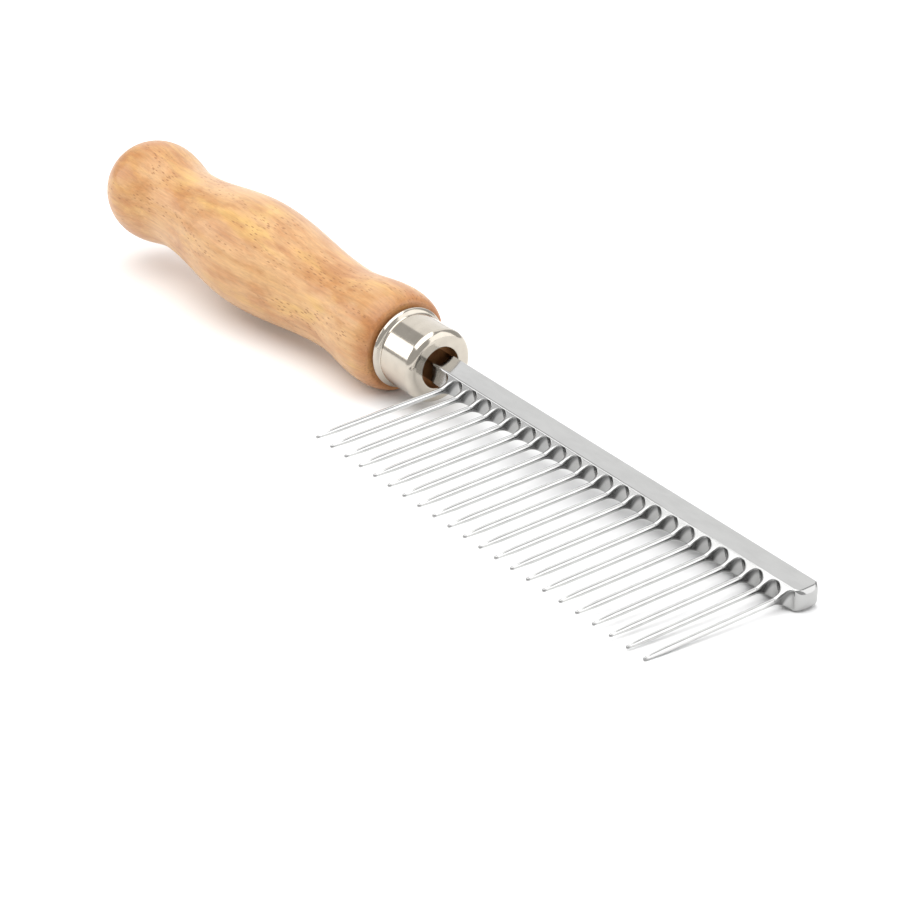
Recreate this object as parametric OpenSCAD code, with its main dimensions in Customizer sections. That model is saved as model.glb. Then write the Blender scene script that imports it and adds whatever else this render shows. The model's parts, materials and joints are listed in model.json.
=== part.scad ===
// Comb with a turned wooden handle: a metal bar that carries one row of long round teeth,
// a metal ferrule and a palm-filling handle.
// Each piece is drawn along the comb's own axis. X runs from the handle to the nose of the bar and
// is zero at the first tooth, the teeth point to -Y, and the broad flat of the bar looks up.
// The whole comb is then tipped into the pose in which it lies on a table.

/* [Teeth] */
// Number of teeth
tooth_count = 22; // [10:1:28]
// Distance between the centres of neighbouring teeth
tooth_pitch = 4.6; // [4.4:0.1:6]
// Free length of a tooth, from the face of the bar to the tip
tooth_len = 33; // [20:0.5:45]
// Diameter of a tooth
tooth_d = 1.25; // [1:0.05:1.3]
// Diameter of the rounded tip
tip_d = 0.7; // [0.4:0.05:0.8]
// Length over which a tooth narrows to its tip
taper_len = 5; // [3:0.5:12]
// Diameter of the shank that is pressed into the bar
shank_d = 0.8; // [0.5:0.05:0.85]
// Length of the shank
shank_len = 5; // [3:0.25:6]

/* [Bar] */
// Depth of the bar, from its back to the face that carries the teeth
bar_depth = 5.4; // [5:0.1:7]
// Thickness of the bar
bar_thick = 4.6; // [4.4:0.1:6]
// Rounding of the long edges of the bar
bar_edge_r = 0.4; // [0.2:0.05:0.6]
// Radius of the hollow sweep where a root runs out into its tooth
root_sweep_r = 1.2; // [0.9:0.05:1.3]
// How far the scallops between the roots cut into the face of the bar
scallop_bite = 0.1; // [0.05:0.05:0.4]
// Length of plain bar between the ferrule and the first tooth
neck_len = 7.5; // [5:0.5:15]
// How much the bar is cut back all round where it enters the ferrule
neck_relief = 0.1; // [0.05:0.05:0.3]
// Length of bar beyond the last tooth
nose_len = 3.6; // [3.2:0.1:8]
// Rounding of the corners of the nose, seen from above
nose_corner_r = 1.8; // [1:0.1:2.2]
// Rounding of the upper and lower edges of the nose
nose_edge_r = 1.4; // [0.8:0.1:1.8]
// Length of the tang inside the handle
tang_len = 42; // [25:1:60]
// Width and thickness of the tang
tang_side = 3.6; // [3:0.1:4]
// Length of the point on the end of the tang
tang_point_len = 8; // [4:0.5:12]

/* [Ferrule] */
// Outer diameter of the ferrule
ferrule_d = 15.8; // [15:0.1:16.6]
// Length of the ferrule
ferrule_len = 11.9; // [10:0.1:18]
// Thickness of the ferrule's wall
ferrule_wall = 0.7; // [0.5:0.05:0.9]
// Diameter of the mouth that the bar passes through
mouth_d = 8.9; // [8.6:0.1:10]
// Depth of the lip that is turned in round the mouth
mouth_lip = 1.2; // [1:0.05:1.5]
// Rounding of the front edge of the ferrule
front_edge_r = 1.7; // [1.2:0.05:2]
// Outer diameter of the bead at the wooden end
bead_d = 17.3; // [17.2:0.1:18.4]
// Width of the bead along the axis
bead_w = 1.8; // [1.6:0.1:2.4]
// Depth of the groove in front of the bead
groove_depth = 0.2; // [0.1:0.05:0.3]

/* [Handle] */
// Length of the handle, from the ferrule to the butt
handle_len = 102; // [98:1:120]
// Diameter of the front face of the handle, where it meets the ferrule
front_d = 18.4; // [18:0.1:20]
// Diameter of the shoulder behind the ferrule
shoulder_d = 21.8; // [21:0.1:25]
// From the ferrule to the widest point of the shoulder
shoulder_at = 5.4; // [4:0.1:9]
// Diameter of the neck
neck_d = 18.7; // [16:0.1:20.5]
// From the ferrule to the neck
neck_at = 20; // [15:0.5:30]
// Diameter of the belly that fills the palm
belly_d = 24; // [21:0.1:28]
// From the ferrule to the widest point of the belly
belly_at = 51.5; // [40:0.5:60]
// Diameter of the waist
waist_d = 18.4; // [15:0.1:20.5]
// From the ferrule to the waist
waist_at = 78; // [66:0.5:82]
// Diameter of the bulb at the butt
bulb_d = 22.2; // [21:0.1:25]
// Length of the dome behind the widest point of the bulb
dome_len = 11.5; // [8:0.1:14]

/* [Fits] */
// Gap between the tenon and the inside of the ferrule
tenon_gap = 0.05; // [0.03:0.01:0.15]
// Gap round the tang in its mortise
tang_gap = 0.1; // [0.05:0.01:0.3]
// Gap round the shank of a tooth in its hole
shank_gap = 0.02; // [0.01:0.01:0.04]
// Space between the tenon and the front wall of the ferrule
tenon_setback = 2; // [1:0.1:3]

/* [Hidden] */
$fn = 64;

// A cut runs past the face that it opens by this much, and a joined shape reaches in as far
over = 0.5;
// Two rounds that would just touch are crossed by this much instead
cross = 0.02;
// Points along each stretch of the handle's outline
curve_steps = 12;
// The full section of the bar stops this far in front of the ferrule
neck_clear = 0.8;

// Stations along the axis, from the nose back to the butt
last_tooth_x = tooth_x(tooth_count);
nose_x = last_tooth_x + nose_len;
ferrule_front_x = -neck_len;
ferrule_back_x = ferrule_front_x - ferrule_len;
tenon_x = ferrule_front_x - mouth_lip - tenon_setback;
bar_x = ferrule_front_x + neck_clear;
shoulder_x = ferrule_back_x - shoulder_at;
bulb_x = ferrule_back_x - handle_len + dome_len;

// The root of a tooth: a hollow sweep, then a rounded crest just under the flat of the bar
tooth_r = tooth_d / 2;
root_r = bar_thick / 2 - cross;
sweep_centre_r = tooth_r + root_sweep_r;
crest_r = root_r - sweep_centre_r;
root_len = root_sweep_r + crest_r - cross;

// Across the comb, from the face of the bar to the tips
face_y = -bar_depth / 2;
root_y = face_y - root_len;
tip_r = tip_d / 2;
tip_y = face_y - tooth_len;
scallop_r = tooth_pitch / 2 - tooth_r - 3 * cross;
scallop_y = face_y + scallop_bite - scallop_r;

// Radii of the turned pieces
ferrule_r = ferrule_d / 2;
bore_r = ferrule_r - ferrule_wall;
mouth_r = mouth_d / 2;
bead_r = bead_w / 2;
tenon_r = bore_r - tenon_gap;
front_r = front_d / 2;
shoulder_rise = (shoulder_d - front_d) / 2;

// The comb lies on three points: the shoulder of the handle, the nose of the bar and the last tip.
// The nose's drop depends on the roll, so the tilt and the roll are worked out twice.
nose_foot_x = nose_x - nose_edge_r;
first_tilt = tilt_for(bar_thick / 2, 0);
first_roll = roll_for(first_tilt);
tilt = tilt_for(nose_drop(first_roll), first_tilt);
roll = roll_for(tilt);

// The middle of the box that the comb fills as it lies
min_x = bulb_x * cos(tilt) - oval_reach(dome_len, bulb_d / 2, tilt);
max_x = (nose_x - nose_edge_r) * cos(tilt) + nose_edge_r + (bar_thick / 2 - nose_edge_r) * sin(tilt);
min_y = (tip_y + tip_r) * cos(roll) - tip_r;
max_y = belly_d / 2;

function tooth_node(i) = str("tooth_", i < 10 ? "0" : "", i);
function tooth_x(i) = (i - 1) * tooth_pitch;

// Half the width of an oval with the half axes a and b, across a direction at an angle to a
function oval_reach(a, b, angle) = sqrt(pow(a * cos(angle), 2) + pow(b * sin(angle), 2));

// Drop of the shoulder and of the nose below the axis, and the height of the axis at the first tooth
function shoulder_drop(t) = front_r * cos(t) + oval_reach(shoulder_at, shoulder_rise, 90 - t);
function nose_drop(r) =
    bar_edge_r + (bar_thick / 2 - bar_edge_r) * cos(r) + (bar_depth / 2 - bar_edge_r) * sin(r);
function axis_height(t) = shoulder_drop(t) + shoulder_x * sin(t);
function tilt_for(drop, t) = atan((shoulder_drop(t) / cos(t) - drop) / (nose_foot_x - shoulder_x));
function roll_for(t) = asin((axis_height(t) - last_tooth_x * sin(t) - tip_r) / (-(tip_y + tip_r) * cos(t)));

// A smooth swell or hollow of the handle between two turning points, each given as [radius, x]
function swell(from, to) = [
    for (i = [1:curve_steps])
        let (t = i / curve_steps)
        [from[0] + (to[0] - from[0]) * (1 - cos(180 * t)) / 2, from[1] + (to[1] - from[1]) * t]
];
// A quarter of an oval, from the side given as [radius, x] to its end
function quarter_oval(centre, a, b, from, to) = [
    for (i = [1:curve_steps])
        let (angle = from + (to - from) * i / curve_steps)
        [centre[0] + a * cos(angle), centre[1] + b * sin(angle)]
];

lie_down() handle();
lie_down() ferrule();
lie_down() spine();
for (i = [1:tooth_count]) {
    lie_down() translate([tooth_x(i), 0, 0]) tooth();
}

// Tips the comb into its rest pose, with the table at zero and the middle of its box over the origin
module lie_down() {
    translate([-(min_x + max_x) / 2, -(min_y + max_y) / 2, axis_height(tilt)])
        rotate([roll, tilt, 0])
        children();
}

// Turns an outline of [radius, x] round the axis of the comb
module turned() {
    rotate([0, 90, 0])
        rotate_extrude()
        children();
}

// The handle is one turning, with a tenon for the ferrule and a mortise for the tang
module handle() {
    color("burlywood")
        difference() {
            turned() handle_outline();
            tang(tang_gap, over);
        }
}

module handle_outline() {
    neck = [neck_d / 2, ferrule_back_x - neck_at];
    belly = [belly_d / 2, ferrule_back_x - belly_at];
    waist = [waist_d / 2, ferrule_back_x - waist_at];
    bulb = [bulb_d / 2, bulb_x];
    polygon(concat(
        [[0, tenon_x], [tenon_r, tenon_x], [tenon_r, ferrule_back_x], [front_r, ferrule_back_x]],
        quarter_oval([front_r, shoulder_x], shoulder_rise, shoulder_at, 90, 0),
        swell([shoulder_d / 2, shoulder_x], neck),
        swell(neck, belly),
        swell(belly, waist),
        swell(waist, bulb),
        quarter_oval([0, bulb_x], bulb_d / 2, dome_len, 0, -90)
    ));
}

// The ferrule is a cup of sheet metal with its mouth turned in and a bead at the wooden end
module ferrule() {
    color("tan")
        turned()
        difference() {
            union() {
                ferrule_shell();
                mouth_lip_section();
                bead_section();
            }
            groove_section();
        }
}

module ferrule_shell() {
    difference() {
        cup_section(ferrule_r, ferrule_front_x, front_edge_r);
        translate([0, -over])
            square_from([0, ferrule_back_x], [bore_r, ferrule_front_x - front_edge_r + over]);
        cup_section(bore_r, ferrule_front_x - ferrule_wall, front_edge_r - ferrule_wall);
        square_from([0, ferrule_front_x - front_edge_r], [mouth_r, ferrule_front_x + over]);
    }
}

// Half of a cup's section, filled, with its front corner rounded
module cup_section(radius, front_x, corner_r) {
    square_from([0, ferrule_back_x], [radius, front_x - corner_r]);
    square_from([0, ferrule_back_x], [radius - corner_r, front_x]);
    translate([radius - corner_r, front_x - corner_r])
        circle(corner_r);
}

module mouth_lip_section() {
    square_from([mouth_r, ferrule_front_x - mouth_lip], [mouth_r + ferrule_wall, ferrule_front_x]);
}

module bead_section() {
    difference() {
        translate([bead_d / 2 - bead_r, ferrule_back_x + bead_r + 2 * cross])
            circle(bead_r);
        square_from([0, ferrule_back_x - over], [bore_r + ferrule_wall / 2, ferrule_back_x + 3 * bead_r]);
    }
}

module groove_section() {
    groove_r = 2 * groove_depth;
    translate([ferrule_r + groove_r - groove_depth, ferrule_back_x + bead_w + groove_r])
        circle(groove_r);
}

module square_from(low, high) {
    translate(low)
        square(high - low);
}

// The spine is the bar with its tang, its flared roots and the holes for the teeth
module spine() {
    color("silver")
        difference() {
            union() {
                bar();
                neck();
                tang(0, 0);
                for (i = [1:tooth_count]) {
                    translate([tooth_x(i), root_y, 0])
                        root();
                }
            }
            for (i = [0:tooth_count]) {
                translate([tooth_x(i) + tooth_pitch / 2, scallop_y, 0])
                    cylinder(h = bar_thick + 2 * over, r = scallop_r, center = true);
            }
            for (i = [1:tooth_count]) {
                translate([tooth_x(i), root_y, 0])
                    shank_hole();
            }
        }
}

// The bar has rounded long edges, round corners on its nose and a softened end
module bar() {
    intersection() {
        bar_between(bar_x, nose_x, 0);
        linear_extrude(bar_thick + 2 * over, center = true)
            nose_outline(bar_depth, nose_corner_r);
        rotate([90, 0, 0])
            linear_extrude(bar_depth + 2 * over, center = true)
            nose_outline(bar_thick, nose_edge_r);
    }
}

// Inside the ferrule the bar is slightly smaller, and its end seats on the tenon
module neck() {
    bar_between(tenon_x, bar_x + over, neck_relief);
}

// A stretch of the bar, cut back all round by an amount
module bar_between(from_x, to_x, relief) {
    translate([from_x, 0, 0])
        rotate([90, 0, 90])
        linear_extrude(to_x - from_x)
        rounded_box(bar_depth - 2 * relief, bar_thick - 2 * relief, bar_edge_r);
}

module rounded_box(width, height, corner_r) {
    square([width - 2 * corner_r, height], center = true);
    square([width, height - 2 * corner_r], center = true);
    for (x = [-1, 1], y = [-1, 1]) {
        translate([x * (width / 2 - corner_r), y * (height / 2 - corner_r)])
            circle(corner_r);
    }
}

// The bar seen from one side, a little wider than the bar along its length
module nose_outline(width, corner_r) {
    side = width / 2;
    square_from([bar_x - over, -side - over], [nose_x - corner_r, side + over]);
    square_from([bar_x, corner_r - side], [nose_x, side - corner_r]);
    for (y = [-1, 1]) {
        translate([nose_x - corner_r, y * (side - corner_r)])
            circle(corner_r);
    }
}

// The tang tapers to a blunt point, and its mortise is the same shape with a gap all round
module tang(gap, front) {
    intersection() {
        linear_extrude(tang_side + 2 * gap, center = true)
            tang_outline(gap, front);
        rotate([90, 0, 0])
            linear_extrude(tang_side + 2 * gap, center = true)
            tang_outline(gap, front);
    }
}

module tang_outline(gap, front) {
    side = tang_side / 2 + gap;
    point = tang_side / 8 + gap;
    front_x = tenon_x + (gap > 0 ? front : over);
    point_x = tenon_x - tang_len + tang_point_len;
    end_x = tenon_x - tang_len - gap;
    polygon([
        [front_x, -side], [front_x, side], [point_x, side],
        [end_x, point], [end_x, -point], [point_x, -side]
    ]);
}

// A flared root, from its foot at zero into the bar, along Y
module root() {
    rotate([-90, 0, 0])
        rotate_extrude()
        difference() {
            union() {
                square([sweep_centre_r, root_len + over]);
                square_from([0, root_len], [root_r, root_len + over]);
                translate([sweep_centre_r, root_len])
                    circle(crest_r);
            }
            translate([sweep_centre_r, 0])
                circle(root_sweep_r);
        }
}

module shank_hole() {
    rotate([-90, 0, 0])
        translate([0, 0, -over])
        cylinder(h = shank_len + 2 * over, r = shank_d / 2 + shank_gap);
}

// A tooth has a shank that is pressed into the bar and a shoulder that seats on the foot of its root
module tooth() {
    free_len = root_y - tip_y;
    color("gainsboro")
        translate([0, root_y, 0])
        rotate([90, 0, 0])
        rotate_extrude()
        union() {
            polygon([
                [0, -shank_len], [shank_d / 2, -shank_len], [shank_d / 2, 0], [tooth_r, 0],
                [tooth_r, free_len - taper_len], [tip_r, free_len - tip_r], [0, free_len - tip_r]
            ]);
            intersection() {
                translate([0, free_len - tip_r])
                    circle(tip_r);
                square([tip_r, free_len]);
            }
        }
}
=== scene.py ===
"""Looks of a steel comb with a turned wooden handle, lying on a pale table."""

import json
import math

import bmesh
import bpy
from bpy.props import FloatProperty, FloatVectorProperty, IntProperty, PointerProperty
from mathutils import Euler, Matrix, Vector


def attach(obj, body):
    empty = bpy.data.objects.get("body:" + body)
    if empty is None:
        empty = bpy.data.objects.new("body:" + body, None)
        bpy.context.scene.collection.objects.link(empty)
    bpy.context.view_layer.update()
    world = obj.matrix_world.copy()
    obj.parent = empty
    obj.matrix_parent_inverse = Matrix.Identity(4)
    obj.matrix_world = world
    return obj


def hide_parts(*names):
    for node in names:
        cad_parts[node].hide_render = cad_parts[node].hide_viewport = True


bl_info = {
    "name": "Wooden Handled Comb",
    "version": (1, 0, 0),
    "blender": (4, 5, 0),
    "location": "3D View > Sidebar > Comb",
    "description": "Dresses the packed frame of a comb: handle, ferrule, bar and teeth",
    "category": "Object",
}

MM = 0.001
BODY = "root"
HAIR = 0.02  # mm between surfaces that would otherwise coincide
GUARD = 0.05  # mm from the end of a flat to the point that keeps it flat

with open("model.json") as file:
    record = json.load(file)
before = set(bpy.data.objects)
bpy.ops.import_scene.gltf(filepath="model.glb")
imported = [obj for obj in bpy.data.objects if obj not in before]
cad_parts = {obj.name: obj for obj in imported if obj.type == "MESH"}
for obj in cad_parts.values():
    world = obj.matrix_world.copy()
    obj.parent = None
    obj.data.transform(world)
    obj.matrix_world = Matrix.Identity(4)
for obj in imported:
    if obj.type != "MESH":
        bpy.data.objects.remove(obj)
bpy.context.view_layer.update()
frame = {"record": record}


# Settings


def millimetres(name, description, default):
    return FloatProperty(name=name, description=description + ", in mm", default=default, min=0)


class CombSizes(bpy.types.PropertyGroup):
    """Sizes of the bar, teeth, ferrule and handle, in millimetres along the comb's own axes."""

    tooth_count: IntProperty(name="Teeth", description="Number of teeth", default=22, min=1)
    tooth_pitch: millimetres("Tooth pitch", "Between the centres of neighbouring teeth", 4.6)
    tooth_d: millimetres("Tooth diameter", "Diameter of a tooth", 1.25)
    tooth_len: millimetres("Tooth length", "From the face of the bar to the tip", 33)
    tip_d: millimetres("Tip diameter", "Diameter of the rounded tip", 0.7)
    taper_len: millimetres("Taper length", "Length over which a tooth narrows", 5)
    bar_depth: millimetres("Bar depth", "From the back of the bar to its face", 5.4)
    bar_thick: millimetres("Bar thickness", "Thickness of the bar", 4.6)
    bar_edge_r: millimetres("Bar edge", "Rounding of the long edges of the bar", 0.4)
    flare_len: millimetres("Flare length", "From the bar's face to the end of a root's flare", 3.2)
    flare_rim_r: millimetres("Flare rim", "Rounding of the rim of a root over its scallops", 0.28)
    scallop_bite: millimetres("Scallop bite", "How far the scallops cut into the bar's face", 0.1)
    neck_len: millimetres("Neck length", "Plain bar between the ferrule and the first tooth", 7.5)
    neck_relief: millimetres("Neck relief", "Cut round the bar where it enters the ferrule", 0.1)
    neck_clear: millimetres("Neck clearance", "From the ferrule to the end of that cut", 0.8)
    tang_len: millimetres("Tang length", "Hidden square tang behind the bar", 42)
    tang_side: millimetres("Tang side", "Width and height of the tang", 3.6)
    tang_point_len: millimetres("Tang point", "Length over which the tang narrows", 8)
    nose_len: millimetres("Nose length", "Bar beyond the last tooth", 3.6)
    nose_corner_r: millimetres("Nose corner", "Rounding of the nose seen from above", 1.8)
    nose_edge_r: millimetres("Nose edge", "Rounding of the upper and lower edges of the nose", 1.4)
    ferrule_d: millimetres("Ferrule diameter", "Outer diameter of the ferrule", 15.8)
    ferrule_len: millimetres("Ferrule length", "Length of the ferrule", 11.9)
    ferrule_wall: millimetres("Ferrule wall", "Thickness of the sheet metal", 0.7)
    mouth_d: millimetres("Mouth diameter", "Diameter of the hole for the bar", 8.9)
    mouth_lip: millimetres("Mouth lip", "Depth of the turned-in lip", 1.2)
    front_edge_r: millimetres("Front edge", "Rounding of the front edge of the ferrule", 1.7)
    bead_d: millimetres("Bead diameter", "Outer diameter of the bead", 17.3)
    bead_w: millimetres("Bead width", "Width of the bead along the axis", 1.8)
    groove_depth: millimetres("Groove depth", "Depth of the groove in front of the bead", 0.2)
    handle_len: millimetres("Handle length", "From the ferrule to the butt", 102)
    front_d: millimetres("Front diameter", "Diameter of the face that meets the ferrule", 18.4)
    shoulder_d: millimetres("Shoulder diameter", "Widest diameter of the shoulder", 21.8)
    shoulder_at: millimetres("Shoulder place", "From the ferrule to the shoulder", 5.4)
    neck_d: millimetres("Neck diameter", "Diameter of the neck of the handle", 18.7)
    neck_at: millimetres("Neck place", "From the ferrule to the neck of the handle", 20)
    belly_d: millimetres("Belly diameter", "Widest diameter of the belly", 24)
    belly_at: millimetres("Belly place", "From the ferrule to the belly", 51.5)
    waist_d: millimetres("Waist diameter", "Diameter of the waist", 18.4)
    waist_at: millimetres("Waist place", "From the ferrule to the waist", 78)
    bulb_d: millimetres("Bulb diameter", "Widest diameter of the bulb", 22.2)
    dome_len: millimetres("Dome length", "Length of the dome behind the bulb", 11.5)
    tenon_gap: millimetres("Tenon gap", "Gap between the tenon and the ferrule", 0.05)
    tenon_setback: millimetres("Tenon setback", "From the ferrule's lip to the tenon", 2)


def colour(name, description, default):
    return FloatVectorProperty(name=name, description=description, subtype="COLOR", size=3,
                               default=default, min=0, max=1)


class CombFinish(bpy.types.PropertyGroup):
    """Colours and surface scales of the wood and the metals."""

    wood_pale: colour("Pale wood", "Lightest colour of the wood", (0.60, 0.355, 0.155))
    wood_warm: colour("Warm wood", "Deeper colour of the wood's soft bands", (0.44, 0.195, 0.06))
    wood_gold: colour("Golden wood", "Colour of the wood's golden patches", (0.63, 0.385, 0.12))
    # Painted shade: the darker colour laid on the rounded edge of the wood beside the ferrule.
    wood_edge_shade: colour("Painted edge shade", "Colour of the painted shade on the rounded edge beside the ferrule",
                           (0.36, 0.13, 0.045))
    wood_pore: colour("Wood pores", "Colour of the short flecks in the wood", (0.28, 0.125, 0.05))
    nickel: colour("Nickel", "Colour of the polished ferrule", (0.53, 0.485, 0.42))
    steel: colour("Steel", "Colour of the plated bar", (0.45, 0.45, 0.445))
    # Painted light: the teeth use the bar's steel made lighter, for the brighter light on them.
    tooth_steel_painted_lighter: colour("Tooth steel", "Colour of the plated teeth", (0.60, 0.60, 0.595))
    steel_roughness: FloatProperty(name="Steel roughness", description="Roughness of the steel",
                                   default=0.1, min=0, max=1, subtype="FACTOR")
    fleck_len: millimetres("Fleck length", "Usual length of a pore fleck", 2.2)


# Places along the comb


class Layout:
    """Where things lie along the comb's own axes, in millimetres. X is zero at the first tooth."""

    def __init__(self, s):
        self.last_tooth = (s.tooth_count - 1) * s.tooth_pitch
        self.nose_x = self.last_tooth + s.nose_len
        self.front_x = -s.neck_len
        self.back_x = self.front_x - s.ferrule_len
        self.tenon_x = self.front_x - s.mouth_lip - s.tenon_setback
        self.butt_x = self.back_x - s.handle_len
        self.face_y = -s.bar_depth / 2
        self.foot_y = self.face_y - (s.bar_thick - s.tooth_d) / 2 + 2 * HAIR
        self.scallop_depth = (s.tooth_pitch - s.tooth_d) / 2 - 3 * HAIR + s.scallop_bite
        self.flare_power = 1.6
        self.flare_top = s.bar_thick / 2 - 0.45 * s.bar_edge_r
        self.tip_y = self.face_y - s.tooth_len
        self.turn = self.lying_turn()
        mid_bar = Vector(((self.nose_x + self.front_x) / 2, 0, s.bar_thick / 2))
        self.origin = Vector(self.mount()["pos_m"]) - self.turn.to_matrix() @ mid_bar * MM
        lie = self.turn.to_matrix().to_4x4()
        self.place = Matrix.Translation(self.origin) @ lie @ Matrix.Scale(MM, 4)

    @staticmethod
    def mount():
        return frame["record"]["mounts"][0]

    def lying_turn(self):
        """The comb rolls about its axis and then tilts, which the flat of the bar shows."""
        normal = Vector(self.mount()["axis"])
        return Euler((math.asin(-normal.y), math.atan2(normal.x, normal.z), 0))


# Shader nodes


class Wire:
    """A node's output. Sums, products and powers of wires add the Math nodes that they need."""

    def __init__(self, shader, socket):
        self.shader = shader
        self.socket = socket

    def math(self, operation, other, flipped=False):
        a, b = (other, self) if flipped else (self, other)
        return self.shader.node("ShaderNodeMath", {"operation": operation}, {0: a, 1: b})

    def __add__(self, other):
        return self.math("ADD", other)

    __radd__ = __add__

    def __sub__(self, other):
        return self.math("SUBTRACT", other)

    def __rsub__(self, other):
        return self.math("SUBTRACT", other, flipped=True)

    def __mul__(self, other):
        return self.math("MULTIPLY", other)

    __rmul__ = __mul__

    def __truediv__(self, other):
        return self.math("DIVIDE", other)

    def __pow__(self, other):
        return self.math("POWER", other)

    def step(self, low, high):
        """0 below low, 1 above high and a smooth rise between them."""
        return self.shader.node("ShaderNodeMapRange", {"interpolation_type": "SMOOTHSTEP"},
                                {"Value": self, "From Min": low, "From Max": high})


class Shader:
    """One material, built from nodes on its Principled surface."""

    def __init__(self, name, **constants):
        self.material = bpy.data.materials.new(name)
        self.material.use_nodes = True
        self.tree = self.material.node_tree
        self.surface = self.tree.nodes["Principled BSDF"]
        for socket, value in constants.items():
            self.surface.inputs[socket.replace("_", " ")].default_value = value

    def node(self, kind, settings=None, inputs=None, output=0):
        made = self.tree.nodes.new(kind)
        for key, value in (settings or {}).items():
            setattr(made, key, value)
        for key, value in (inputs or {}).items():
            self.feed(made.inputs[key], value)
        return Wire(self, made.outputs[output])

    def feed(self, socket, value):
        if isinstance(value, Wire):
            self.tree.links.new(value.socket, socket)
        else:
            socket.default_value = value

    def along_comb(self, layout):
        """Places in millimetres along the comb's own axes."""
        world = self.node("ShaderNodeTexCoord", output="Object")
        return self.node("ShaderNodeMapping", {"vector_type": "TEXTURE"},
                         {"Vector": world, "Location": layout.origin, "Rotation": layout.turn,
                          "Scale": (MM, MM, MM)})

    def stretched(self, place, cell, offset=(0, 0, 0)):
        """Places counted in cells of the given length, depth and height."""
        return self.node("ShaderNodeMapping", {"vector_type": "TEXTURE"},
                         {"Vector": place, "Location": offset, "Scale": cell})

    def noise(self, place, cell, detail=2.0, roughness=0.5, offset=(0, 0, 0)):
        return self.node("ShaderNodeTexNoise", {},
                         {"Vector": self.stretched(place, cell, offset), "Scale": 1.0,
                          "Detail": detail, "Roughness": roughness})

    def blend(self, amount, a, b, mode="MIX"):
        return self.node("ShaderNodeMix", {"data_type": "RGBA", "blend_type": mode},
                         {0: amount, 6: a, 7: b}, output=2)

    def split(self, place):
        parts = self.node("ShaderNodeSeparateXYZ", {}, {0: place})
        outputs = parts.socket.node.outputs
        return [Wire(self, outputs[i]) for i in range(3)]

    def bump(self, height, distance, strength=1.0):
        return self.node("ShaderNodeBump", {},
                         {"Height": height, "Distance": distance, "Strength": strength})

    def finish(self, **links):
        for socket, wire in links.items():
            self.feed(self.surface.inputs[socket.replace("_", " ")], wire)
        return self.material


def opaque(shade):
    return (*shade, 1)


def dimmed(shade, share):
    return opaque([channel * share for channel in shade])


# Finishes


def turned_wood(layout, finish):
    """Lacquered pale wood: golden and orange bands, mottling, fine streaks and short dark flecks
    along the grain, warmest at the shoulder and the butt, and with painted shade on the rounded
    edge beside the ferrule."""
    shader = Shader("turned_wood", Coat_Roughness=0.12, Coat_IOR=1.45, Specular_IOR_Level=0.4)
    place = shader.along_comb(layout)
    bands = shader.noise(place, (60, 5, 5), detail=3, roughness=0.55)
    mottle = shader.noise(place, (11, 3.4, 3.4), detail=3, roughness=0.6, offset=(9, 4, 2))
    streaks = shader.noise(place, (20, 0.55, 0.55), detail=4, roughness=0.6)
    fibres = shader.noise(place, (5, 0.16, 0.16), detail=2, roughness=0.6)
    along = shader.split(place)[0]
    shoulder = along.step(layout.back_x - 8, layout.back_x) * 0.3
    butt = (1.0 - along.step(layout.butt_x, layout.butt_x + 26)) * 0.55
    warm = bands.step(0.34, 0.66) * 0.4 + mottle.step(0.36, 0.72) * 0.7 + shoulder + butt
    gold = shader.noise(place, (15, 4.5, 4.5), detail=2, offset=(1, 7, 3)).step(0.5, 0.66)
    pale = shader.blend(gold * 0.8, opaque(finish.wood_pale), opaque(finish.wood_gold))
    base = shader.blend(warm.math("MINIMUM", 1.0), pale, opaque(finish.wood_warm))
    # Painted shade on the rounded front edge of the wood, next to the ferrule.
    painted_edge_shade = along.step(layout.back_x - 4.5, layout.back_x + 0.5) * 0.55
    base = shader.blend(painted_edge_shade, base, opaque(finish.wood_edge_shade))
    fine = (streaks - 0.5) * 0.6 + (fibres - 0.5) * 0.35 + 1.0
    shade = shader.node("ShaderNodeCombineXYZ", {}, {0: fine, 1: fine, 2: fine})
    toned = shader.blend(1.0, base, shade, mode="MULTIPLY")
    fleck_cells = shader.stretched(place, (finish.fleck_len, 0.5, 0.5))
    flecks = shader.node("ShaderNodeTexVoronoi", {"feature": "F1"},
                         {"Vector": fleck_cells, "Scale": 1.0, "Randomness": 1.0})
    sparse = shader.noise(place, (14, 3.6, 3.6), detail=3, offset=(3, 8, 5)).step(0.47, 0.6)
    fleck = (1.0 - flecks.step(0.16, 0.34)) * sparse
    colour_out = shader.blend(fleck * 0.8, toned, opaque(finish.wood_pore))
    height = fibres * 0.4 + streaks * 0.3 - fleck * 0.8
    return shader.finish(
        Base_Color=colour_out,
        Roughness=0.42 + fleck * 0.2 + (streaks - 0.5) * 0.12,
        Coat_Weight=0.35 - fleck * 0.2,
        Normal=shader.bump(height, 0.00004, 0.6),
    )


def polished_nickel(layout, finish):
    """Warm bright plate with faint turning lines round the axis and a few soft smudges."""
    shader = Shader("polished_nickel", Metallic=1.0)
    place = shader.along_comb(layout)
    lines = shader.noise(place, (0.09, 9, 9), detail=2)
    smudges = shader.noise(place, (3.2, 3.2, 3.2), detail=3, offset=(5, 1, 7))
    tone = shader.blend(smudges.step(0.35, 0.75), opaque(finish.nickel), dimmed(finish.nickel, 0.9))
    return shader.finish(
        Base_Color=tone,
        Roughness=0.07 + smudges * 0.08 + lines * 0.04,
        Normal=shader.bump(lines * 0.5 + smudges * 0.5, 0.00001, 0.5),
    )


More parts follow.
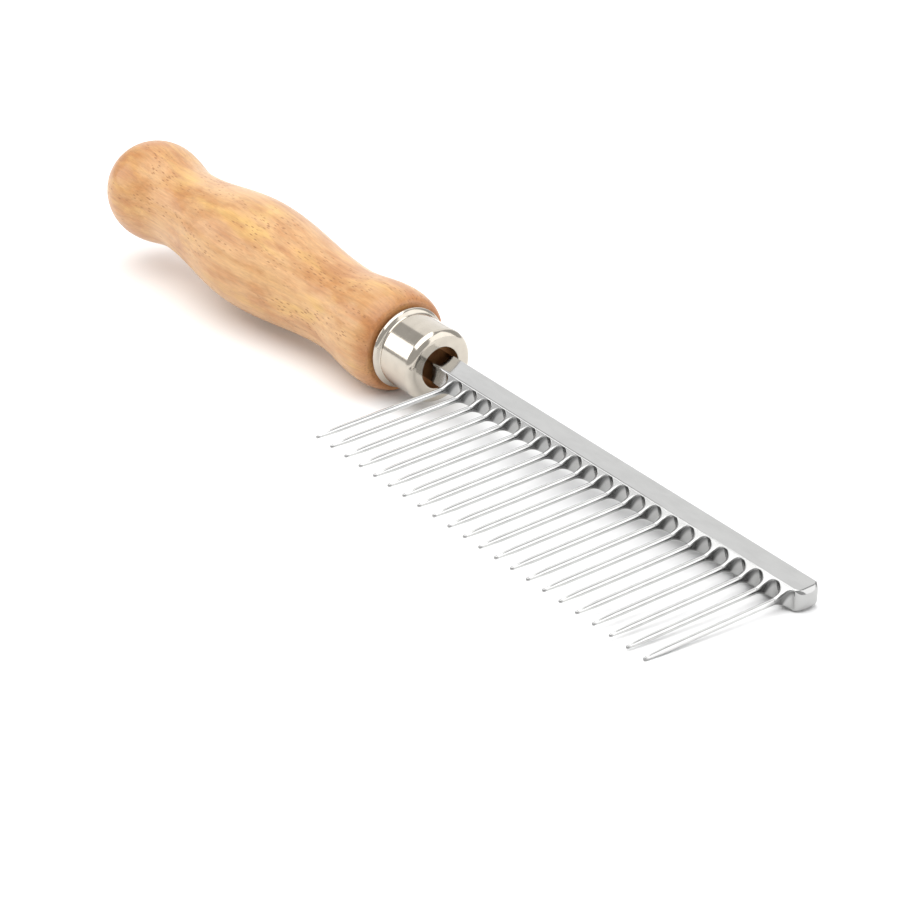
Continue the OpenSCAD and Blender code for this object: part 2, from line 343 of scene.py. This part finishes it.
def plated_steel(name, shade, sizes, layout, finish, grain):
    """Bright plate with a fine grain that follows the length of the piece, duller on the roots, with
    painted shade under the scallops' rims and a painted dark reflection at the teeth's ends."""
    shader = Shader(name, Metallic=1.0)
    place = shader.along_comb(layout)
    lines = shader.noise(place, grain, detail=2)
    clouds = shader.noise(place, (6, 3, 3), detail=2, offset=(2, 6, 1))
    _, across, up = shader.split(place)
    out = layout.face_y - across
    rise = (1.0 - out / sizes.flare_len).math("MAXIMUM", 0.0) ** layout.flare_power
    rim = rise * (layout.flare_top - sizes.tooth_d / 2) + sizes.tooth_d / 2
    depth = rim - up
    # Painted shade: the steel's colour is darkened under the rims of the scallops, in the crevices.
    below = depth.step(0.02, 0.3) * (1.0 - (depth - out * 1.2).step(0.1, 1.3))
    painted_shade_under_rim = below * (1.0 - out.step(2.2, 6.0)) * out.step(-0.1, 0.1)
    on_root = out.step(-0.2, 0.2) * (1.0 - out.step(2.0, sizes.flare_len))
    # Painted dark reflection: the steel's colour is darkened over the last millimetre of each tooth.
    tip = out.step(sizes.tooth_len - 0.9, sizes.tooth_len - 0.4)
    shading = (clouds - 0.5) * 0.08 + (lines - 0.5) * 0.06
    bright = shader.blend(clouds.step(0.3, 0.75), opaque(shade), dimmed(shade, 0.93))
    tone = shader.blend(painted_shade_under_rim * 0.85 + tip * 0.55, bright, dimmed(shade, 0.25))
    return shader.finish(
        Base_Color=tone,
        Roughness=finish.steel_roughness + shading + on_root * 0.14,
        Normal=shader.bump(lines, 0.000006, 0.5),
    )


# Mesh helpers


def arc(centre, radius, start, end, steps):
    """Points (x, r) along an arc, with its angles in degrees from +x towards +r."""
    angles = [math.radians(start + (end - start) * i / steps) for i in range(steps + 1)]
    return [(centre[0] + radius * math.cos(a), centre[1] + radius * math.sin(a)) for a in angles]


def turned(profile, steps, axis=(1, 0, 0), closed=False):
    """A turning round an axis through zero, from points given as (along, radius)."""
    bm = bmesh.new()
    side = Vector((0, 0, 1))
    verts = [bm.verts.new(Vector(axis) * along + side * radius) for along, radius in profile]
    edges = [bm.edges.new(pair) for pair in zip(verts, verts[1:])]
    if closed:
        edges.append(bm.edges.new((verts[-1], verts[0])))
    bmesh.ops.spin(bm, geom=verts + edges, cent=(0, 0, 0), axis=axis, dvec=(0, 0, 0),
                   angle=math.tau, steps=steps, use_merge=True, use_duplicate=False)
    return bm


def guarded(points, closed=False):
    """The same outline with a point close to each end of its straights, which keeps flats flat."""
    guards = []
    for a, b in zip(points, points[1:] + points[:1] if closed else points[1:]):
        guards.append(a)
        if math.dist(a, b) > 4 * GUARD:
            near = GUARD / math.dist(a, b)
            guards += [tuple(p + (q - p) * t for p, q in zip(a, b)) for t in (near, 1 - near)]
    return guards if closed else guards + [points[-1]]


def lofted(rings):
    """A skin through rings of equally many points, each grown from the last, with closed ends."""
    bm = bmesh.new()
    first = [bm.verts.new(p) for p in rings[0]]
    edges = [bm.edges.new(pair) for pair in zip(first, first[1:] + first[:1])]
    bmesh.ops.contextual_create(bm, geom=edges)
    for ring in rings[1:]:
        grown = bmesh.ops.extrude_edge_only(bm, edges=edges)["geom"]
        verts = [v for v in grown if isinstance(v, bmesh.types.BMVert)]
        edges = [e for e in grown if isinstance(e, bmesh.types.BMEdge)]
        for vert, point in zip(verts, ring):
            vert.co = point
    bmesh.ops.contextual_create(bm, geom=edges)
    return bm


def add_piece(name, bm, material, replaced, layout):
    """Puts a mesh made in comb millimetres on the table as a piece that stands for its CAD nodes."""
    bmesh.ops.remove_doubles(bm, verts=bm.verts, dist=1e-4)
    bmesh.ops.recalc_face_normals(bm, faces=bm.faces)
    bm.transform(layout.place)
    mesh = bpy.data.meshes.new(name)
    bm.to_mesh(mesh)
    bm.free()
    mesh.shade_smooth()
    mesh.materials.append(material)
    piece = bpy.data.objects.new(name, mesh)
    bpy.context.scene.collection.objects.link(piece)
    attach(piece, BODY)
    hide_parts(*replaced)
    return piece


# Outlines of the turned pieces


def swell(start, end, steps=14):
    """A smooth swell or hollow between two points (x, radius), without its first point."""
    points = []
    for i in range(1, steps + 1):
        t = i / steps
        ease = (1 - math.cos(math.pi * t)) / 2
        points.append((start[0] + (end[0] - start[0]) * t, start[1] + (end[1] - start[1]) * ease))
    return points


def quarter_oval(centre, along, out, start, end, steps=14):
    """Part of an oval round (x, radius), with half axes along and out, in degrees from -x."""
    angles = [math.radians(start + (end - start) * i / steps) for i in range(1, steps + 1)]
    return [(centre[0] - along * math.cos(a), centre[1] + out * math.sin(a)) for a in angles]


def handle_profile(s, layout):
    tenon_r = s.ferrule_d / 2 - s.ferrule_wall - s.tenon_gap
    front_r = s.front_d / 2
    shoulder = (layout.back_x - s.shoulder_at, s.shoulder_d / 2)
    neck = (layout.back_x - s.neck_at, s.neck_d / 2)
    belly = (layout.back_x - s.belly_at, s.belly_d / 2)
    waist = (layout.back_x - s.waist_at, s.waist_d / 2)
    bulb = (layout.butt_x + s.dome_len, s.bulb_d / 2)
    profile = [(layout.tenon_x, 0), (layout.tenon_x, tenon_r)]
    profile += [(layout.back_x, tenon_r), (layout.back_x, front_r)]
    profile += quarter_oval((shoulder[0], front_r), -s.shoulder_at, shoulder[1] - front_r, 0, 90)
    profile += swell(shoulder, neck) + swell(neck, belly) + swell(belly, waist) + swell(waist, bulb)
    profile += quarter_oval((bulb[0], 0), s.dome_len, bulb[1], 90, 0, steps=20)
    return guarded(profile)


def ferrule_profile(s, layout):
    outer = s.ferrule_d / 2
    bore = outer - s.ferrule_wall
    mouth = s.mouth_d / 2
    front, back = layout.front_x, layout.back_x
    edge, flange = 0.2, 0.4
    bead_r = s.bead_w / 2
    bead = (back + bead_r + 2 * HAIR, s.bead_d / 2 - bead_r)
    groove_r = 2 * s.groove_depth
    groove = (back + s.bead_w + groove_r, outer + groove_r - s.groove_depth)
    corner = (front - s.front_edge_r, outer - s.front_edge_r)
    lip_back = front - s.mouth_lip
    profile = [(back, bore), (back, bore + flange)]
    profile += arc(bead, bead_r, 190, 25, 24)
    profile += arc(groove, groove_r, 210, 320, 10)
    profile += arc(corner, s.front_edge_r, 90, 0, 16)
    profile += arc((front - edge, mouth + edge), edge, 0, -90, 6)
    profile += arc((lip_back + edge, mouth + edge), edge, 270, 180, 6)
    lip_r = mouth + s.ferrule_wall
    profile += [(lip_back, lip_r), (front - s.ferrule_wall, lip_r)]
    profile += arc(corner, s.front_edge_r - s.ferrule_wall, 0, 90, 8)
    return guarded(profile, closed=True)


# The bar, its roots and its teeth


def bar_rings(s, layout):
    """Sections across the bar, from the point of the tang to the end of the nose."""
    deep, thick, edge = s.bar_depth / 2, s.bar_thick / 2, s.bar_edge_r
    tang, tang_edge, tang_end = s.tang_side / 2, 0.2, 0.45
    cut_x = layout.front_x + s.neck_clear
    corner_x = layout.nose_x - s.nose_corner_r
    tang_x = layout.tenon_x - s.tang_len
    full = (deep, thick, edge)
    cut = (deep - s.neck_relief, thick - s.neck_relief, edge)
    square = (tang, tang, tang_edge)
    stations = [
        (tang_x, tang_end, tang_end, tang_edge), (tang_x + s.tang_point_len, *square),
        (layout.tenon_x - GUARD, *square), (layout.tenon_x, *square),
        (layout.tenon_x, *cut), (layout.tenon_x + GUARD, *cut),
        (cut_x - GUARD, *cut), (cut_x, *cut),
        (cut_x, *full), (cut_x + GUARD, *full), (corner_x - GUARD, *full),
    ]
    steps = 20
    for i in range(steps + 1):
        angle = math.radians(90 * i / steps)
        along = s.nose_corner_r * math.sin(angle)
        past = max(0, along - s.nose_corner_r + s.nose_edge_r)
        drop = s.nose_edge_r - math.sqrt(s.nose_edge_r ** 2 - past ** 2)
        half_deep = deep - s.nose_corner_r * (1 - math.cos(angle))
        fullest = min(half_deep, thick - drop)
        round_r = edge + (fullest - edge) * (drop / s.nose_edge_r) ** 0.5
        stations.append((corner_x + along, half_deep, thick - drop, round_r * 0.99))
    return [[(x, across, up) for across, up in guarded_ring(half_deep, half_thick, round_r)]
            for x, half_deep, half_thick, round_r in stations]


def guarded_ring(half_wide, half_high, corner_r):
    """A rounded rectangle whose flats have a point close to each corner, always of the same count."""
    ring = []
    for quarter, (sx, sy) in enumerate(((1, 1), (-1, 1), (-1, -1), (1, -1))):
        centre = Vector((sx * (half_wide - corner_r), sy * (half_high - corner_r)))
        corner = [Vector(p) for p in arc(centre, corner_r, 90 * quarter, 90 * quarter + 90, 8)]
        before, after = (half_high - corner_r, half_wide - corner_r)
        if quarter % 2:
            before, after = after, before
        start_way = Vector(((0, -1), (1, 0), (0, 1), (-1, 0))[quarter])
        end_way = Vector(((-1, 0), (0, -1), (1, 0), (0, 1))[quarter])
        ring.append(corner[0] + start_way * min(GUARD, before / 2))
        ring += corner
        ring.append(corner[-1] + end_way * min(GUARD, after / 2))
    return [tuple(p) for p in ring]


def root_rings(s, layout, tooth_x):
    """Sections across a flared root: round on the tooth, then ever squarer between the scallops,
    with a sloped top that runs up to the edge of the bar. Neighbours stay apart, so that their
    hidden walls in the bar are never welded."""
    tooth_r = s.tooth_d / 2
    past_face = 0.3
    widest = (s.tooth_pitch - HAIR / 2) / 2
    straight, turn = 14, 24
    flare_run = layout.scallop_depth - s.flare_len
    sections = [(s.flare_len + flare_run * i / straight, tooth_r) for i in range(straight)]
    for degrees in [90 - 90 * i / turn for i in range(turn)] + [0.6, 0]:
        angle = math.radians(degrees)
        sections.append((layout.scallop_depth * (1 - math.cos(angle)),
                         tooth_r + (widest - tooth_r) * (1 - math.sin(angle))))
    sections.append((-past_face, widest))
    rings = []
    for out, half_wide in sections:
        rise = min(1, 1 - out / s.flare_len) ** layout.flare_power
        half_high = tooth_r + (layout.flare_top - tooth_r) * rise
        corner_r = tooth_r + (s.flare_rim_r - tooth_r) * rise ** 1.5
        rings.append([(tooth_x + across, layout.face_y - out, up)
                      for across, up in guarded_ring(half_wide, half_high, corner_r)])
    return rings


def tooth_profile(s, layout):
    """A tooth from its foot to its tip, as (distance from the axis of the bar, radius)."""
    tooth_r, tip_r = s.tooth_d / 2, s.tip_d / 2
    foot, tip = -layout.foot_y, -layout.tip_y
    buried = foot - 0.3
    profile = [(buried, 0), (buried, tooth_r - HAIR), (foot, tooth_r), (tip - s.taper_len, tooth_r)]
    profile += [(tip - tip_r + along, radius) for along, radius in arc((0, 0), tip_r, 82, 0, 8)]
    profile[-1] = (tip, 0)
    return profile


def tooth_node(index):
    return f"tooth_{index + 1:02d}"


# Operators


class COMB_OT_handle(bpy.types.Operator):
    """Turn the wooden handle"""

    bl_idname = "comb.handle"
    bl_label = "Wooden Handle"

    def execute(self, context):
        sizes = context.scene.comb_sizes
        layout = Layout(sizes)
        bm = turned(handle_profile(sizes, layout), 128)
        wood = turned_wood(layout, context.scene.comb_finish)
        add_piece("wooden_handle", bm, wood, ["handle"], layout)
        return {"FINISHED"}


class COMB_OT_ferrule(bpy.types.Operator):
    """Spin the metal ferrule with its bead, groove and turned-in mouth"""

    bl_idname = "comb.ferrule"
    bl_label = "Ferrule"

    def execute(self, context):
        sizes = context.scene.comb_sizes
        layout = Layout(sizes)
        bm = turned(ferrule_profile(sizes, layout), 128, closed=True)
        nickel = polished_nickel(layout, context.scene.comb_finish)
        add_piece("nickel_ferrule", bm, nickel, ["ferrule"], layout)
        return {"FINISHED"}


class COMB_OT_spine(bpy.types.Operator):
    """Draw the bar with its nose and the flared roots of the teeth"""

    bl_idname = "comb.spine"
    bl_label = "Bar and Roots"

    def execute(self, context):
        sizes = context.scene.comb_sizes
        layout = Layout(sizes)
        bm = lofted(bar_rings(sizes, layout))
        mesh = bpy.data.meshes.new("root_shape")
        for index in range(sizes.tooth_count):
            root = lofted(root_rings(sizes, layout, index * sizes.tooth_pitch))
            root.to_mesh(mesh)
            root.free()
            bm.from_mesh(mesh)
        bpy.data.meshes.remove(mesh)
        finish = context.scene.comb_finish
        grain = (8, 0.07, 0.07)
        steel = plated_steel("plated_steel_bar", finish.steel, sizes, layout, finish, grain)
        add_piece("steel_bar", bm, steel, ["spine"], layout)
        return {"FINISHED"}


class COMB_OT_teeth(bpy.types.Operator):
    """Turn the long round teeth with their tapered tips"""

    bl_idname = "comb.teeth"
    bl_label = "Teeth"

    def execute(self, context):
        sizes = context.scene.comb_sizes
        layout = Layout(sizes)
        finish = context.scene.comb_finish
        grain = (0.09, 5, 0.09)
        # The lighter tooth colour is painted light on the same plated steel as the bar.
        steel = plated_steel("plated_steel_teeth", finish.tooth_steel_painted_lighter, sizes, layout, finish, grain)
        for index in range(sizes.tooth_count):
            bm = turned(tooth_profile(sizes, layout), 32, axis=(0, -1, 0))
            bm.transform(Matrix.Translation((index * sizes.tooth_pitch, 0, 0)))
            name = tooth_node(index)
            add_piece("steel_" + name, bm, steel, [name], layout)
        return {"FINISHED"}


class COMB_OT_stage(bpy.types.Operator):
    """Lay the pale floor and set the soft lights and the camera"""

    bl_idname = "comb.stage"
    bl_label = "Floor, Lights and Camera"

    def execute(self, context):
        self.floor(context)
        self.sky(context)
        self.lights(context)
        self.camera(context)
        context.scene.view_settings.view_transform = "Standard"
        return {"FINISHED"}

    def floor(self, context):
        bm = bmesh.new()
        half_side, below_comb = 1.6, 0.00005
        bmesh.ops.create_grid(bm, x_segments=1, y_segments=1, size=half_side)
        mesh = bpy.data.meshes.new("floor")
        bm.to_mesh(mesh)
        bm.free()
        shader = Shader("pale_floor", Base_Color=(0.92, 0.92, 0.92, 1), Roughness=0.9,
                        Specular_IOR_Level=0.1)
        mesh.materials.append(shader.material)
        floor = bpy.data.objects.new("floor", mesh)
        floor.location.z = -below_comb
        context.scene.collection.objects.link(floor)

    def sky(self, context):
        """A dim even light all round, which the camera sees as white."""
        world = bpy.data.worlds.new("studio")
        world.use_nodes = True
        nodes, links = world.node_tree.nodes, world.node_tree.links
        dim = nodes["Background"]
        dim.inputs["Color"].default_value = (1, 1, 1, 1)
        dim.inputs["Strength"].default_value = 0.6
        white = nodes.new("ShaderNodeBackground")
        white.inputs["Color"].default_value = (1, 1, 1, 1)
        seen = nodes.new("ShaderNodeLightPath")
        mix = nodes.new("ShaderNodeMixShader")
        links.new(seen.outputs["Is Camera Ray"], mix.inputs["Fac"])
        links.new(dim.outputs["Background"], mix.inputs[1])
        links.new(white.outputs["Background"], mix.inputs[2])
        links.new(mix.outputs["Shader"], nodes["World Output"].inputs["Surface"])
        context.scene.world = world

    def lights(self, context):
        """Soft boxes that the metal mirrors: above, left, behind at the right and a far wall."""
        self.soft_box(context, "top_box", bearing=-98, height=77, distance=1.0,
                      wide=1.2, high=1.15, glow=2.4)
        self.soft_box(context, "left_box", bearing=-143, height=22, distance=0.9,
                      wide=0.52, high=0.46, glow=2.4)
        self.soft_box(context, "right_box", bearing=38, height=29, distance=1.2,
                      wide=1.1, high=1.3, glow=1.4)
        self.soft_box(context, "far_wall", bearing=138, height=34, distance=1.6,
                      wide=1.5, high=2.0, glow=0.8)

    def soft_box(self, context, name, bearing, height, distance, wide, high, glow):
        """A box light at a bearing and height in degrees, with its distance and size in metres."""
        light = bpy.data.lights.new(name, "AREA")
        light.shape = "RECTANGLE"
        light.size, light.size_y = wide, high
        light.energy = glow * math.pi * wide * high
        lamp = bpy.data.objects.new(name, light)
        turn = Euler((0, math.radians(-height), math.radians(bearing)))
        way = turn.to_matrix() @ Vector((1, 0, 0))
        lamp.location = way * distance
        lamp.rotation_euler = (-way).to_track_quat("-Z", "Y").to_euler()
        context.scene.collection.objects.link(lamp)

    def camera(self, context):
        data = bpy.data.cameras.new("photo_camera")
        data.sensor_width = 36
        data.lens = 132.54
        data.clip_start = 0.01
        camera = bpy.data.objects.new("photo_camera", data)
        camera.location = (0.48231, -0.35745, 0.27089)
        camera.rotation_euler = Euler([math.radians(a) for a in (65.232, -0.389, 52.376)])
        context.scene.collection.objects.link(camera)
        context.scene.camera = camera


# Panel and registration


class COMB_PT_pieces(bpy.types.Panel):
    """Buttons that build the pieces, and the values that they use"""

    bl_idname = "COMB_PT_pieces"
    bl_label = "Comb"
    bl_space_type = "VIEW_3D"
    bl_region_type = "UI"
    bl_category = "Comb"

    def draw(self, context):
        for operator in OPERATORS:
            self.layout.operator(operator.bl_idname)
        for group in (context.scene.comb_sizes, context.scene.comb_finish):
            box = self.layout.box()
            for name in group.bl_rna.properties.keys():
                if name not in ("rna_type", "name"):
                    box.prop(group, name)


OPERATORS = (COMB_OT_handle, COMB_OT_ferrule, COMB_OT_spine, COMB_OT_teeth, COMB_OT_stage)
CLASSES = (CombSizes, CombFinish, *OPERATORS, COMB_PT_pieces)


def register():
    for cls in CLASSES:
        bpy.utils.register_class(cls)
    bpy.types.Scene.comb_sizes = PointerProperty(type=CombSizes)
    bpy.types.Scene.comb_finish = PointerProperty(type=CombFinish)


def unregister():
    del bpy.types.Scene.comb_finish
    del bpy.types.Scene.comb_sizes
    for cls in reversed(CLASSES):
        bpy.utils.unregister_class(cls)


def main():
    register()
    bpy.ops.comb.handle()
    bpy.ops.comb.ferrule()
    bpy.ops.comb.spine()
    bpy.ops.comb.teeth()
    bpy.ops.comb.stage()
    bpy.context.view_layer.update()


if __name__ == "__main__":
    main()
